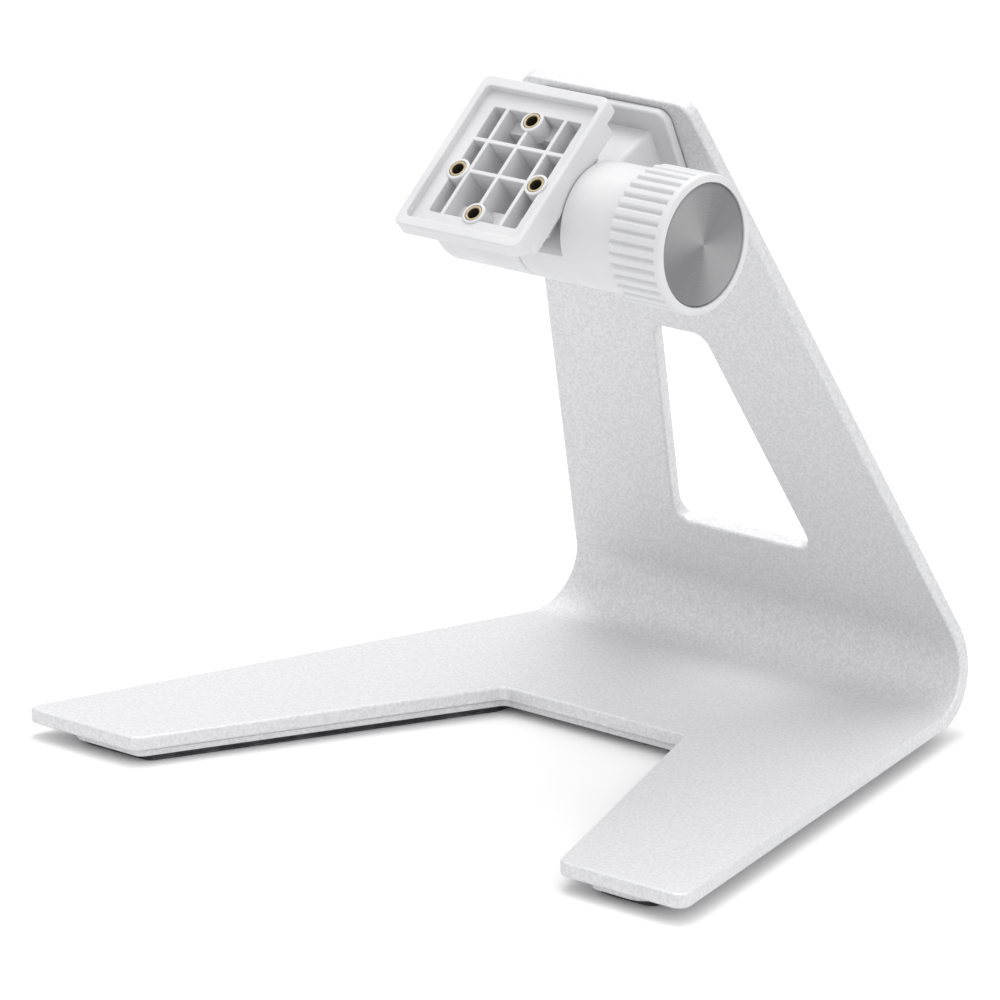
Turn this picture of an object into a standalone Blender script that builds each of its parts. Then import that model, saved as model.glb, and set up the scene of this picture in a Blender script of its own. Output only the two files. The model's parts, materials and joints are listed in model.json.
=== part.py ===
"""Bent sheet-metal desktop stand with a clamped tilt hinge and a ribbed display mounting plate."""

import math

import bmesh
import bpy
from mathutils import Matrix, Vector

MM = 0.001
WELD = 3e-6
SHARP = math.radians(32)

# Sheet stand, in millimetres. X is sideways, the legs point to -Y.
SHEET = 4.0
LEAN = math.radians(25.17)
BEND_R = 13.2
LEG_LENGTH = 159.0
BASE_HALF = 72.7
BASE_FLARE = 0.261
LEG_INNER_END = 73.3
TOE_R = 3.5
NOTCH_DEPTH = 58.2
NOTCH_HALF = 31.4
PLATE_HALF = 66.2
PLATE_TAPER = 0.229
PLATE_LENGTH = 166.0
SHEET_EDGE = 0.8
BEND_STEPS = 14
BEND_LENGTH = (BEND_R + SHEET / 2) * (math.pi / 2 + LEAN)
LEG_OUTER_END = BASE_HALF + BASE_FLARE * LEG_LENGTH
TOP_HALF = PLATE_HALF - PLATE_TAPER * PLATE_LENGTH
WINDOW_LOW = 18.4
WINDOW_HIGH = 88.0
WINDOW_TOP_HALF = 8.4
WINDOW_RADIUS = 4.5
SCREW_X = 11.0
SCREW_S = (139.0, 153.0)

# The frame's origin is under the middle of the footprint, on the counter.
ROW_Y = (LEG_LENGTH - BEND_R - SHEET) / 2
ROW_Z = 8.0

# Layers below the sheet.
GAP = 0.3
LAYER_LOW = -6.0
LAYER_FRONT = 2.7
LAYER_OUTER = 11.0
LAYER_INNER = 1.5
LAYER_RIGHT_INNER = 9.0
STRIP_FRONT = 6.3
STRIP_OUTER = 12.0
STRIP_INNER = {-1: 3.0, 1: 10.0}

# Hinge axis and the tilt of the mounting plate at rest.
AXIS_Y = -83.13
AXIS_Z = 141.42
FACE_TILT = math.radians(47.96)
TILT_BACK = 26.0
TILT_DOWN = 11.0

# Bracket, in plate coordinates: x sideways, s up the plate, off in front of it.
FLANGE_HALF = 22.4
FLANGE_S = (116.5, 164.2)
FLANGE_FRONT = 2.5
ARM_HALF = 16.0
ARM_S = (134.6, 157.8)

# Hinge barrel.
BARREL_R = 16.6
RELIEF_R = 17.1
NECK_R = 9.0
LUG_X = (-23.3, 5.3)
HOUSING_X = (5.8, 38.2)
FULL_X = 21.2

# Mounting plate, in head coordinates: x sideways, w up the slope, h from the hinge axis.
FACE_X = (-21.3, 20.9)
FACE_W = (-25.2, 24.2)
SUNK_X = (-18.8, 19.2)
SUNK_W = (-22.2, 21.0)
FACE_H = 21.9
FLANGE_H = 17.6
BODY_H = 13.7
DEEP_H = 9.3
LAND_H = 19.7
RIB_PITCH = 9.8
RIB_HALF = 0.6
RIB_W = (-4.05, 5.75)
CELL_X = (-14.4, 15.2)
CELL_W = (-18.2, 16.2)
DEEP_HALF = 13.2
INSERTS = {
    "insert_upper": (0.0, 13.95),
    "insert_left": (-13.2, -4.45),
    "insert_right": (13.2, -4.45),
    "insert_lower": (0.0, -16.45),
}

# Knob.
KNOB_X = (38.7, 55.4)
KNOB_R = 18.3
FLUTES = 36
FLUTE_DEPTH = 0.75
DISC_R = 15.9


def clear_scene():
    for obj in list(bpy.data.objects):
        bpy.data.objects.remove(obj, do_unlink=True)


def material(name, color, metallic, roughness):
    mat = bpy.data.materials.new(name)
    mat.use_nodes = True
    shader = mat.node_tree.nodes["Principled BSDF"]
    shader.inputs["Base Color"].default_value = (*color, 1.0)
    shader.inputs["Metallic"].default_value = metallic
    shader.inputs["Roughness"].default_value = roughness
    return mat


def make_frame(name, x_axis, y_axis, z_axis, origin):
    """An empty that carries the pieces built in its own axes."""
    columns = [Vector(x_axis), Vector(y_axis), Vector(z_axis), Vector(origin) * MM]
    matrix = Matrix.Identity(4)
    for col in range(4):
        for row in range(3):
            matrix[row][col] = columns[col][row]
    empty = bpy.data.objects.new(name, None)
    empty.empty_display_size = 0.02
    empty.matrix_world = matrix
    bpy.context.scene.collection.objects.link(empty)
    return empty


def make_frames():
    """The flat base, the leaning plate, the mounting face and the hinge axle."""
    make_frame("base_axes", (1, 0, 0), (0, 1, 0), (0, 0, 1), (0, ROW_Y, ROW_Z))
    up = (0, -math.sin(LEAN), math.cos(LEAN))
    out = (0, -math.cos(LEAN), -math.sin(LEAN))
    foot_y = BEND_R * math.cos(LEAN) + ROW_Y
    foot_z = BEND_R + BEND_R * math.sin(LEAN) + ROW_Z
    make_frame("plate_axes", (1, 0, 0), up, out, (0, foot_y, foot_z))
    hinge = (0, AXIS_Y + ROW_Y, AXIS_Z + ROW_Z)
    up = (0, math.sin(FACE_TILT), math.cos(FACE_TILT))
    out = (0, -math.cos(FACE_TILT), math.sin(FACE_TILT))
    make_frame("head_axes", (1, 0, 0), up, out, hinge)
    make_frame("axle_axes", (0, 1, 0), (0, 0, 1), (1, 0, 0), hinge)


def flat_frame():
    return bpy.data.objects["base_axes"]


def plate_frame():
    """x, s up the plate, off in front of the plate's front face."""
    return bpy.data.objects["plate_axes"]


def head_frame():
    """x, w up the mounting plate's slope, h along its outward normal from the hinge axis."""
    return bpy.data.objects["head_axes"]


def axle_frame():
    """Local z is the hinge axis, towards the knob."""
    return bpy.data.objects["axle_axes"]


def finish(bm, name, mat, frame):
    """Turns millimetres into metres and hangs the mesh on its frame."""
    bmesh.ops.scale(bm, vec=(MM, MM, MM), verts=bm.verts)
    bmesh.ops.recalc_face_normals(bm, faces=bm.faces)
    mesh = bpy.data.meshes.new(name)
    bm.to_mesh(mesh)
    bm.free()
    mesh.shade_smooth()
    mesh.set_sharp_from_angle(angle=SHARP)
    obj = bpy.data.objects.new(name, mesh)
    bpy.context.scene.collection.objects.link(obj)
    obj.parent = frame
    if mat:
        mesh.materials.append(mat)
    return obj


def fillet(points, radii, steps=4):
    """The polygon with each corner rounded to its own radius."""
    loop = []
    count = len(points)
    for i, radius in enumerate(radii):
        corner = Vector(points[i])
        before = (Vector(points[i - 1]) - corner).normalized()
        after = (Vector(points[(i + 1) % count]) - corner).normalized()
        if radius == 0:
            loop.append(corner)
            continue
        half = before.angle(after) / 2
        centre = corner + (before + after).normalized() * radius / math.sin(half)
        start = corner + before * radius / math.tan(half) - centre
        end = corner + after * radius / math.tan(half) - centre
        turn = start.angle_signed(end)
        for k in range(steps + 1):
            angle = -turn * k / steps
            spun = Matrix.Rotation(angle, 2) @ start
            loop.append(centre + spun)
    return loop


def inset_loop(loop, inset):
    """The counter-clockwise loop moved inwards; a negative inset moves it outwards."""
    moved = []
    count = len(loop)
    for i in range(count):
        into = (loop[i] - loop[i - 1]).normalized()
        onward = (loop[(i + 1) % count] - loop[i]).normalized()
        normal = Vector((-into.y - onward.y, into.x + onward.x)).normalized()
        scale = max(0.3, Vector((-into.y, into.x)).dot(normal))
        moved.append(loop[i] + normal * inset / scale)
    return moved


def inset_edges(points, insets):
    """The counter-clockwise polygon with the edge after each point moved inwards by its own inset."""
    lines = []
    for i, inset in enumerate(insets):
        start = Vector(points[i])
        along = (Vector(points[(i + 1) % len(points)]) - start).normalized()
        lines.append((start + Vector((-along.y, along.x)) * inset, along))
    moved = []
    for i, (start, along) in enumerate(lines):
        other, before = lines[i - 1]
        reach = (start - other).cross(along) / before.cross(along)
        moved.append(other + before * reach)
    return moved


def round_levels(low, high, edge, steps=2):
    """Heights and insets of a prism whose two rims are rounded."""
    levels = []
    for k in range(steps + 1):
        angle = math.pi / 2 * k / steps
        levels.append((low + edge * (1 - math.cos(angle)), edge * (1 - math.sin(angle))))
    return levels + [(low + high - height, inset) for height, inset in reversed(levels)]


def stacked(bm, loops):
    """Side walls between successive loops of 3-D points."""
    rings = [[bm.verts.new(point) for point in loop] for loop in loops]
    for lower, upper in zip(rings, rings[1:]):
        count = len(lower)
        for i in range(count):
            j = (i + 1) % count
            bm.faces.new((lower[i], lower[j], upper[j], upper[i]))
    return rings


def prism(name, loop, levels, frame, mat=None):
    bm = bmesh.new()
    loops = []
    for height, inset in levels:
        moved = inset_loop(loop, inset) if inset else loop
        loops.append([Vector((p.x, p.y, height)) for p in moved])
    rings = stacked(bm, loops)
    bm.faces.new(rings[0])
    bm.faces.new(rings[-1])
    return finish(bm, name, mat, frame)


def box_loop(x_range, y_range, radius=0.0, steps=4):
    corners = [
        (x_range[0], y_range[0]),
        (x_range[1], y_range[0]),
        (x_range[1], y_range[1]),
        (x_range[0], y_range[1]),
    ]
    return fillet(corners, [radius] * 4, steps)


def polygon_loop(radius, count, turn=0.0):
    angles = [turn + 2 * math.pi * k / count for k in range(count)]
    return [Vector((radius * math.cos(a), radius * math.sin(a))) for a in angles]


def lathe(name, profile, frame, count, mat=None, at=(0.0, 0.0)):
    """Turns (radius, height) points about local z; a profile off the axis closes on itself."""
    bm = bmesh.new()
    solid = profile[0][0] == 0
    rings = []
    for radius, height in profile:
        if radius == 0:
            rings.append([bm.verts.new((at[0], at[1], height))])
            continue
        ring = []
        for point in polygon_loop(radius, count):
            ring.append(bm.verts.new((point.x + at[0], point.y + at[1], height)))
        rings.append(ring)
    pairs = list(zip(rings, rings[1:]))
    if not solid:
        pairs.append((rings[-1], rings[0]))
    for one, two in pairs:
        for i in range(count):
            j = (i + 1) % count
            if len(one) == 1:
                bm.faces.new((one[0], two[j], two[i]))
            elif len(two) == 1:
                bm.faces.new((one[i], one[j], two[0]))
            else:
                bm.faces.new((one[i], one[j], two[j], two[i]))
    return finish(bm, name, mat, frame)


def ring_profile(inner, outer, low, high):
    return [(inner, low), (outer, low), (outer, high), (inner, high)]


def disc_profile(outer, low, high, edge=0.0):
    if not edge:
        return [(0, low), (outer, low), (outer, high), (0, high)]
    return [
        (0, low),
        (outer - edge, low),
        (outer, low + edge),
        (outer, high - edge),
        (outer - edge, high),
        (0, high),
    ]


def join(name, objects):
    """One cutter holding several separate closed shapes that share a frame."""
    bm = bmesh.new()
    frame = objects[0].parent
    for obj in objects:
        bm.from_mesh(obj.data)
        bpy.data.objects.remove(obj, do_unlink=True)
    bmesh.ops.scale(bm, vec=(1 / MM, 1 / MM, 1 / MM), verts=bm.verts)
    return finish(bm, name, None, frame)


def weld(mesh):
    """Joins the near-coincident points that a cut leaves behind."""
    bm = bmesh.new()
    bm.from_mesh(mesh)
    bmesh.ops.remove_doubles(bm, verts=bm.verts, dist=WELD)
    bmesh.ops.dissolve_degenerate(bm, edges=bm.edges, dist=WELD / 2)
    bm.to_mesh(mesh)
    bm.free()


def combine(target, tools, operation, clean=True):
    """Applies exact Booleans one after another and removes the tools."""
    for tool in tools:
        modifier = target.modifiers.new("cut", "BOOLEAN")
        modifier.operation = operation
        modifier.solver = "EXACT"
        modifier.object = tool
        bpy.context.view_layer.update()
        graph = bpy.context.evaluated_depsgraph_get()
        mesh = bpy.data.meshes.new_from_object(target.evaluated_get(graph))
        target.modifiers.clear()
        target.data = mesh
        if clean:
            weld(mesh)
        bpy.data.objects.remove(tool, do_unlink=True)
    target.data.shade_smooth()
    target.data.set_sharp_from_angle(angle=SHARP)
    return target


def bend_point(x, s, h):
    """A point of the flat blank, s along its length and h above its middle, after bending."""
    radius = BEND_R + SHEET / 2 - h
    if s <= 0:
        return Vector((x, s, h - SHEET / 2))
    beyond = max(0.0, s - BEND_LENGTH)
    phi = (s - beyond) / (BEND_R + SHEET / 2)
    y = radius * math.sin(phi) + beyond * math.cos(phi)
    z = BEND_R - radius * math.cos(phi) + beyond * math.sin(phi)
    return Vector((x, y, z))


def blank_outline():
    half = [
        (LEG_INNER_END, -LEG_LENGTH, 4.5),
        (LEG_OUTER_END, -LEG_LENGTH, TOE_R),
        (BASE_HALF, 0.0, 0.0),
        (PLATE_HALF, BEND_LENGTH, 0.0),
        (TOP_HALF, BEND_LENGTH + PLATE_LENGTH, 5.0),
    ]
    notch = [(-NOTCH_HALF, -NOTCH_DEPTH, 3.0), (NOTCH_HALF, -NOTCH_DEPTH, 3.0)]
    other = [(-x, s, r) for x, s, r in reversed(half)]
    points = half + other + notch
    return fillet([(x, s) for x, s, _ in points], [r for _, _, r in points])


def window_loop():
    low_half = WINDOW_TOP_HALF + PLATE_TAPER * (WINDOW_HIGH - WINDOW_LOW)
    low = BEND_LENGTH + WINDOW_LOW
    high = BEND_LENGTH + WINDOW_HIGH
    corners = [
        (-low_half, low),
        (low_half, low),
        (WINDOW_TOP_HALF, high),
        (-WINDOW_TOP_HALF, high),
    ]
    return fillet(corners, [WINDOW_RADIUS] * 4)


def stand_plate(mat):
    """The blank with its rounded edges and window, then bent round the rear."""
    bm = bmesh.new()
    levels = round_levels(-SHEET / 2, SHEET / 2, SHEET_EDGE)
    caps = [[], []]
    for loop, sign in ((blank_outline(), 1), (window_loop(), -1)):
        loops = []
        for height, inset in levels:
            moved = inset_loop(loop, inset * sign)
            loops.append([Vector((p.x, p.y, height)) for p in moved])
        rings = stacked(bm, loops)
        for cap, ring in zip(caps, (rings[0], rings[-1])):
            for i, vert in enumerate(ring):
                cap.append(bm.edges.get((vert, ring[(i + 1) % len(ring)])))
    for cap in caps:
        bmesh.ops.triangle_fill(bm, edges=cap, use_beauty=True)
    for step in range(BEND_STEPS + 1):
        place = Vector((0, BEND_LENGTH * step / BEND_STEPS, 0))
        geometry = bm.verts[:] + bm.edges[:] + bm.faces[:]
        bmesh.ops.bisect_plane(bm, geom=geometry, dist=1e-5, plane_co=place, plane_no=(0, 1, 0))
    for vert in bm.verts:
        vert.co = bend_point(*vert.co)
    body = finish(bm, "stand_plate", mat, flat_frame())
    tools = []
    for x, s in screw_places():
        cone = [(0, -SHEET - 1), (5.0, -SHEET - 1), (4.3, -SHEET), (2.3, -SHEET + 2.0), (2.3, 1), (0, 1)]
        tools.append(lathe("sink", cone, plate_frame(), 24, at=(x, s)))
    return combine(body, [join("sinks", tools)], "DIFFERENCE", clean=False)


def screw_places():
    return [(x, s) for x in (-SCREW_X, SCREW_X) for s in SCREW_S]


def base_layer(mat):
    """The flat weight plate fixed under the sheet."""
    half = [(LEG_INNER_END, -LEG_LENGTH), (LEG_OUTER_END, -LEG_LENGTH), (BASE_HALF, 0.0)]
    other = [(-x, y) for x, y in reversed(half)]
    points = half + other + [(-NOTCH_HALF, -NOTCH_DEPTH), (NOTCH_HALF, -NOTCH_DEPTH)]
    inner, outer, front = LAYER_INNER, LAYER_OUTER, LAYER_FRONT
    insets = [front, outer, inner, outer, front, inner, inner, LAYER_RIGHT_INNER]
    moved = inset_edges(points, insets)
    loop = fillet(moved, [3.0, 6.0, 2.0, 2.0, 6.0, 3.0, 3.0, 3.0])
    levels = round_levels(LAYER_LOW, -SHEET - GAP, 0.2, 1)
    return prism("weight_plate", loop, levels, flat_frame(), mat)


def foot_strip(name, side, mat):
    points = [
        (LEG_INNER_END, -LEG_LENGTH),
        (LEG_OUTER_END, -LEG_LENGTH),
        (BASE_HALF, 0.0),
        (NOTCH_HALF, 0.0),
        (NOTCH_HALF, -NOTCH_DEPTH),
    ]
    front, outer, inner = STRIP_FRONT, STRIP_OUTER, STRIP_INNER[side]
    points = inset_edges(points, [front, outer, front, inner, inner])
    if side < 0:
        points = [(-x, y) for x, y in reversed(points)]
    loop = fillet(points, [3.0] * len(points), 3)
    levels = round_levels(-ROW_Z, LAYER_LOW - GAP, 0.2, 1)
    return prism(name, loop, levels, flat_frame(), mat)


def neck_loop():
    """The housing's section under the mounting plate, cut back to let the plate tilt."""
    rest = math.pi - FACE_TILT
    loop = []
    for k in range(60):
        angle = 2 * math.pi * k / 60
        away = (angle - rest + math.pi) % (2 * math.pi) - math.pi
        limit = math.radians(TILT_DOWN if away > 0 else TILT_BACK)
        spread = max(0.0, abs(away) - limit)
        reach = NECK_R / math.cos(spread) if spread < 1.2 else BARREL_R
        reach = min(BARREL_R, reach)
        loop.append(Vector((reach * math.cos(angle), reach * math.sin(angle))))
    return loop


def hinge_bracket(mat):
    """Flange, arm and fixed half of the hinge barrel, moulded as one."""
    plate = plate_frame()
    axle = axle_frame()
    flange = box_loop((-FLANGE_HALF, FLANGE_HALF), FLANGE_S, 3.5)
    body = prism("hinge_bracket", flange, round_levels(GAP, FLANGE_FRONT, 0.5), plate, mat)
    section = box_loop((-ARM_HALF, ARM_HALF), ARM_S, 1.0, 2)
    arm = prism("arm", section, [(1.5, 0), (31.0, 0)], plate)
    neck = prism("neck", neck_loop(), [(HOUSING_X[0], 0), (FULL_X + 1.0, 0)], axle)
    full = lathe("full", disc_profile(BARREL_R, FULL_X, HOUSING_X[1], 0.4), axle, 60)
    relief = lathe("relief", disc_profile(RELIEF_R, -30.0, HOUSING_X[0] - 0.3), axle, 60)
    arm = combine(arm, [relief], "DIFFERENCE")
    body = combine(body, [arm, neck, full], "UNION")
    bore = [
        (0, 0.0),
        (8.1, 0.0),
        (8.1, HOUSING_X[0] + 1.7),
        (3.3, HOUSING_X[0] + 1.7),
        (3.3, 36.9),
        (8.6, 36.9),
        (8.6, 40.0),
        (0, 40.0),
    ]
    tools = [lathe("bore", bore, axle, 32)]
    hole = disc_profile(3.1, -1.0, 8.8)
    holes = [lathe("hole", hole, plate, 20, at=place) for place in screw_places()]
    tools.append(join("holes", holes))
    return combine(body, tools, "DIFFERENCE")


def bracket_fixings(steel, brass):
    """Countersunk socket screws from the back of the plate, and the brass inserts they meet."""
    screw = [
        (0, -2.6),
        (1.45, -2.6),
        (1.45, -SHEET),
        (3.9, -SHEET),
        (1.95, -SHEET + 1.95),
        (1.95, 8.0),
        (0, 8.0),
    ]
    insert = ring_profile(2.15, 2.9, 0.6, 7.4)
    for number, place in enumerate(screw_places(), 1):
        lathe(f"bracket_screw_{number}", screw, plate_frame(), 18, steel, at=place)
        lathe(f"bracket_insert_{number}", insert, plate_frame(), 20, brass, at=place)


def cell_boxes(low, w_limits):
    """One cutter for each pocket between the ribs."""
    edges_x = [CELL_X[0], -RIB_PITCH, 0.0, RIB_PITCH, CELL_X[1]]
    edges_w = [CELL_W[0], RIB_W[0], RIB_W[1], CELL_W[1]]
    boxes = []
    for i in range(4):
        x0 = edges_x[i] + (RIB_HALF if i else 0)
        x1 = edges_x[i + 1] - (RIB_HALF if i < 3 else 0)
        for j in range(3):
            w0 = edges_w[j] + (RIB_HALF if j else 0)
            w1 = edges_w[j + 1] - (RIB_HALF if j < 2 else 0)
            w0 = max(w0, w_limits[0])
            w1 = min(w1, w_limits[1])
            loop = box_loop((x0, x1), (w0, w1), 0.0)
            boxes.append(prism("cell", loop, [(low, 0), (LAND_H + 1.0, 0)], head_frame()))
    return join("cells", boxes)


def mount_plate(mat):
    """The moving half of the hinge: barrel lug, ribbed body and rimmed mounting face."""
    head = head_frame()
    axle = axle_frame()
    face = box_loop(FACE_X, FACE_W, 2.5)
    body = prism("mount_plate", face, round_levels(FLANGE_H, FACE_H, 0.5), head, mat)
    inner = box_loop((-17.3, FACE_X[1] - 0.05), (-21.6, 19.5), 1.5, 2)
    block = prism("block", inner, [(BODY_H, 0), (FLANGE_H + 1.5, 0)], head)
    core = box_loop((-17.0, 17.5), (-DEEP_HALF, DEEP_HALF))
    deep = prism("deep", core, [(DEEP_H, 0), (BODY_H + 1, 0)], head)
    barrel = [
        (0, LUG_X[0]),
        (BARREL_R - 1.2, LUG_X[0]),
        (BARREL_R - 0.35, LUG_X[0] + 0.35),
        (BARREL_R, LUG_X[0] + 1.2),
        (BARREL_R, LUG_X[1] - 0.3),
        (BARREL_R - 0.3, LUG_X[1]),
        (0, LUG_X[1]),
    ]
    lug = lathe("lug", barrel, axle, 60)
    body = combine(body, [block, deep, lug], "UNION")
    recess = box_loop(SUNK_X, SUNK_W, 1.5, 2)
    tools = [
        prism("recess", recess, [(LAND_H, 0), (FACE_H + 1.0, 0)], head),
        cell_boxes(14.9, CELL_W),
        cell_boxes(DEEP_H + 1.2, (-DEEP_HALF + 1.2, DEEP_HALF - 1.2)),
    ]
    body = combine(body, tools, "DIFFERENCE")
    boss = disc_profile(3.3, 14.0, 20.1)
    bosses = [lathe("boss", boss, head, 24, at=place) for place in INSERTS.values()]
    body = combine(body, [join("bosses", bosses)], "UNION")
    hole = disc_profile(2.5, 15.0, 21.0)
    holes = [lathe("hole", hole, head, 24, at=place) for place in INSERTS.values()]
    bore = [
        (0, -24.0),
        (12.4, -24.0),
        (12.4, -21.8),
        (9.0, -21.8),
        (9.0, -12.6),
        (5.5, -12.6),
        (5.5, 3.7),
        (8.1, 3.7),
        (8.1, 7.0),
        (0, 7.0),
    ]
    return combine(body, [join("holes", holes), lathe("bore", bore, axle, 32)], "DIFFERENCE")


def mount_insert(name, place, mat):
    """A knurled brass thread insert, its bore open at the top."""
    profile = [
        (1.5, 15.3),
        (2.1, 15.3),
        (2.35, 15.6),
        (2.35, 20.0),
        (2.2, 20.15),
        (1.65, 20.15),
        (1.5, 20.0),
    ]
    return lathe(name, profile, head_frame(), 24, mat, at=place)


def clamp_bolt(mat):
    axle = axle_frame()
    shank = lathe("clamp_bolt", disc_profile(3.0, -16.5, 49.0, 0.5), axle, 28, mat)
    head = prism("head", polygon_loop(5.6, 6), [(-19.4, 0), (-15.6, 0)], axle)
    return combine(shank, [head], "UNION")


def knob_body(mat):
    """Fluted grip with a blind bore behind and a seat for the disc in front."""
    back, front = KNOB_X
    wave = (0.0, 0.0, 1.0, 1.0)
    count = FLUTES * len(wave)
    sections = [
        (KNOB_R - 0.6, back, 0.0),
        (KNOB_R, back + 0.6, 0.0),
        (KNOB_R, back + 1.0, 0.0),
        (KNOB_R, back + 1.2, FLUTE_DEPTH),
        (KNOB_R, front - 3.0, FLUTE_DEPTH),
        (KNOB_R, front - 2.6, 0.0),
        (KNOB_R, front - 0.7, 0.0),
        (KNOB_R - 0.7, front, 0.0),
    ]
    bm = bmesh.new()
    loops = []
    for radius, height, depth in sections:
        loop = []
        for k in range(count):
            angle = 2 * math.pi * k / count
            reach = radius - depth * wave[k % len(wave)]
            loop.append((reach * math.cos(angle), reach * math.sin(angle), height))
        loops.append(loop)
    rings = stacked(bm, loops)
    bm.faces.new(rings[0])
    bm.faces.new(rings[-1])
    body = finish(bm, "knob_body", mat, axle_frame())
    seat = disc_profile(DISC_R + 0.25, front - 1.2, front + 1.0)
    bore = [
        (0, back - 1.0),
        (9.6, back - 1.0),
        (9.6, back + 0.6),
        (5.3, back + 0.6),
        (5.3, back + 11.8),
        (0, back + 11.8),
    ]
    tools = [lathe("seat", seat, axle_frame(), 48), lathe("bore", bore, axle_frame(), 24)]
    return combine(body, tools, "DIFFERENCE")


def build():
    clear_scene()
    make_frames()
    silver = material("silver_sheet", (0.78, 0.78, 0.79), 0.6, 0.45)
    white = material("white_plastic", (0.86, 0.86, 0.87), 0.0, 0.4)
    grey = material("grey_steel", (0.66, 0.66, 0.67), 0.3, 0.5)
    rubber = material("dark_rubber", (0.05, 0.05, 0.055), 0.0, 0.85)
    steel = material("zinc_steel", (0.6, 0.6, 0.62), 1.0, 0.35)
    brass = material("brass", (0.78, 0.58, 0.25), 1.0, 0.3)
    fibre = material("friction_fibre", (0.12, 0.11, 0.1), 0.0, 0.8)
    nylon = material("natural_nylon", (0.75, 0.73, 0.68), 0.0, 0.5)
    dark = material("spun_metal", (0.35, 0.35, 0.36), 1.0, 0.3)
    axle = axle_frame()
    back, front = KNOB_X
    stand_plate(silver)
    base_layer(grey)
    foot_strip("foot_strip_left", -1, rubber)
    foot_strip("foot_strip_right", 1, rubber)
    hinge_bracket(white)
    bracket_fixings(steel, brass)
    clamp_bolt(steel)
    lathe("bolt_washer", ring_profile(3.3, 8.0, -15.3, -14.1), axle, 36, steel)
    spring = [(3.4, -13.8), (8.2, -13.3), (8.2, -12.9), (3.4, -13.4)]
    lathe("disc_spring", spring, axle, 36, steel)
    lathe("lug_bush", ring_profile(3.3, 5.2, -12.2, 3.5), axle, 32, nylon)
    lathe("friction_ring_moving", ring_profile(5.8, 7.8, 4.0, 5.4), axle, 36, fibre)
    lathe("friction_ring_fixed", ring_profile(5.8, 7.8, 5.7, 7.2), axle, 36, fibre)
    mount_plate(white)
    for name, place in INSERTS.items():
        mount_insert(name, place, brass)
    cap = [
        (0, -23.1),
        (11.5, -23.1),
        (12.1, -22.5),
        (12.1, -22.1),
        (8.7, -22.1),
        (8.7, -19.8),
        (0, -19.8),
    ]
    lathe("lug_cap", cap, axle, 48, white)
    lathe("thrust_washer", ring_profile(3.3, 8.2, 37.2, 38.4), axle, 36, nylon)
    knob_body(white)
    lathe("knob_insert", ring_profile(3.2, 5.0, back + 0.9, back + 11.3), axle, 24, brass)
    lathe("knob_disc", disc_profile(DISC_R, front - 0.9, front - 0.3), axle, 48, dark)


build()
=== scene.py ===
"""Looks of a bent-sheet desktop stand with a clamped tilt hinge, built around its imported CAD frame."""

import json
import math

import bmesh
import bpy
from mathutils import Matrix, Vector


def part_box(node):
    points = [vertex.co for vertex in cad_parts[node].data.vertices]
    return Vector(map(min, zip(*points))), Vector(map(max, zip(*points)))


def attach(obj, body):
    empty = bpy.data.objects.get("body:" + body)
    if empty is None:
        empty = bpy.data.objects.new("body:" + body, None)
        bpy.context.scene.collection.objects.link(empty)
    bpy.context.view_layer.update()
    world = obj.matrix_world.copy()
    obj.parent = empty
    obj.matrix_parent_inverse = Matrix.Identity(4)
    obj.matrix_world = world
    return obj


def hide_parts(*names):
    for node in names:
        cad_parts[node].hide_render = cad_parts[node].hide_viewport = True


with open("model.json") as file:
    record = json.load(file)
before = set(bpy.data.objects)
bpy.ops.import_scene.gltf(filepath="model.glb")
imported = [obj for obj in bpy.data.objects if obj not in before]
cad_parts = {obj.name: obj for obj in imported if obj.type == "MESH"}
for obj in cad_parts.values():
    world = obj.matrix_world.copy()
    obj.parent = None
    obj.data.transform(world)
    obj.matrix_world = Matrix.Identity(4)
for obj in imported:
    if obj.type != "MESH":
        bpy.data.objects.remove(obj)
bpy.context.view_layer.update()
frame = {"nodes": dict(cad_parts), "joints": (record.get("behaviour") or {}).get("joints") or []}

MM = 0.001
SHARP = math.radians(40)

# Sheet stand, in millimetres, as in the CAD. X is sideways, the legs point to -Y.
SHEET = 4.0
LEAN = math.radians(25.17)
BEND_R = 13.2
LEG_LENGTH = 159.0
BASE_HALF = 72.7
BASE_FLARE = 0.261
LEG_INNER_END = 73.3
TOE_R = 3.5
NOTCH_DEPTH = 58.2
NOTCH_HALF = 31.4
PLATE_HALF = 66.2
PLATE_TAPER = 0.229
PLATE_LENGTH = 166.0
SHEET_EDGE = 0.8
BEND_STEPS = 48
BEND_LENGTH = (BEND_R + SHEET / 2) * (math.pi / 2 + LEAN)
LEG_OUTER_END = BASE_HALF + BASE_FLARE * LEG_LENGTH
TOP_HALF = PLATE_HALF - PLATE_TAPER * PLATE_LENGTH
WINDOW_LOW = 18.4
WINDOW_HIGH = 88.0
WINDOW_TOP_HALF = 8.4
WINDOW_RADIUS = 4.5
ROW_Y = (LEG_LENGTH - BEND_R - SHEET) / 2
ROW_Z = 8.0

# Layers under the sheet.
GAP = 0.3
LAYER_LOW = -6.0
LAYER_FRONT = 2.7
LAYER_OUTER = 11.0
LAYER_INNER = 1.5
LAYER_RIGHT_INNER = 9.0
STRIP_FRONT = 6.3
STRIP_OUTER = 12.0
STRIP_INNER = {-1: 3.0, 1: 10.0}

# Bracket, in plate coordinates: x sideways, s up the plate, off in front of it.
FLANGE_HALF = 22.4
FLANGE_S = (116.5, 164.2)
FLANGE_FRONT = 2.5
ARM_HALF = 16.0
ARM_S = (134.6, 157.8)

# Hinge barrel, turned about the axle.
BARREL_R = 16.6
RELIEF_R = 17.1
NECK_R = 9.0
LUG_X = (-23.3, 5.3)
HOUSING_X = (5.8, 38.2)
FULL_X = 21.2
TILT_BACK = 26.0
TILT_DOWN = 11.0

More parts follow.
